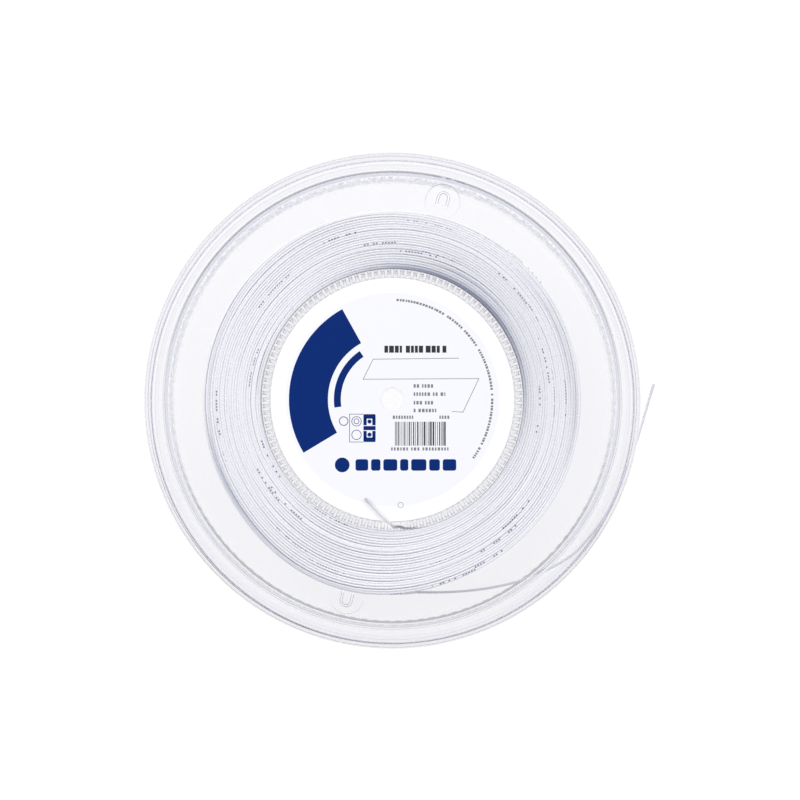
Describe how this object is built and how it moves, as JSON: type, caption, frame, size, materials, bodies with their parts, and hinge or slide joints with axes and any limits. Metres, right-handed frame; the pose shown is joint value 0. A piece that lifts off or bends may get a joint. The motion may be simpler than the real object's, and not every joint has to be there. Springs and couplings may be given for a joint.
{
  "type": "string reel",
  "caption": "Clear two-part spool with stepped flanges and a fluted hub, wound with white racket string; one string end lies over the rim, the other on the round label.",
  "frame": {"origin": "on the reel's axis, at the surface that the lower rim lies on", "axes": "+Z along the reel's axis, out of the labelled face; +Y towards the top of the label; +X to the label's right"},
  "size_m": [0.2532, 0.2428, 0.0334],
  "materials": {
    "clear_plastic": "crystal clear moulded polystyrene, polished",
    "label_film": "satin printed film, white with deep blue artwork",
    "string": "translucent white polyester monofilament with small grey ink marks"
  },
  "bodies": {
    "reel": {"reel_half_upper": "clear_plastic", "reel_half_lower": "clear_plastic", "front_label": "label_film", "string_winding": "string", "string_outer_tail": "string", "string_inner_end": "string"},
    "upper_clip": {"clip_tongue_upper": "clear_plastic"},
    "lower_clip": {"clip_tongue_lower": "clear_plastic"}
  },
  "joints": [
    {"name": "upper_clip_bend", "type": "hinge", "parent": "reel", "child": "upper_clip", "pos_m": [0.02404, 0.09501, 0.03], "axis": [0.9694, -0.2453, 0], "range_deg": [0, 8], "stiffness_Nm_per_rad": 0.02},
    {"name": "lower_clip_bend", "type": "hinge", "parent": "reel", "child": "lower_clip", "pos_m": [-0.02221, -0.09545, 0.0034], "axis": [0.974, -0.2267, 0], "range_deg": [0, 8], "stiffness_Nm_per_rad": 0.02}
  ]
}
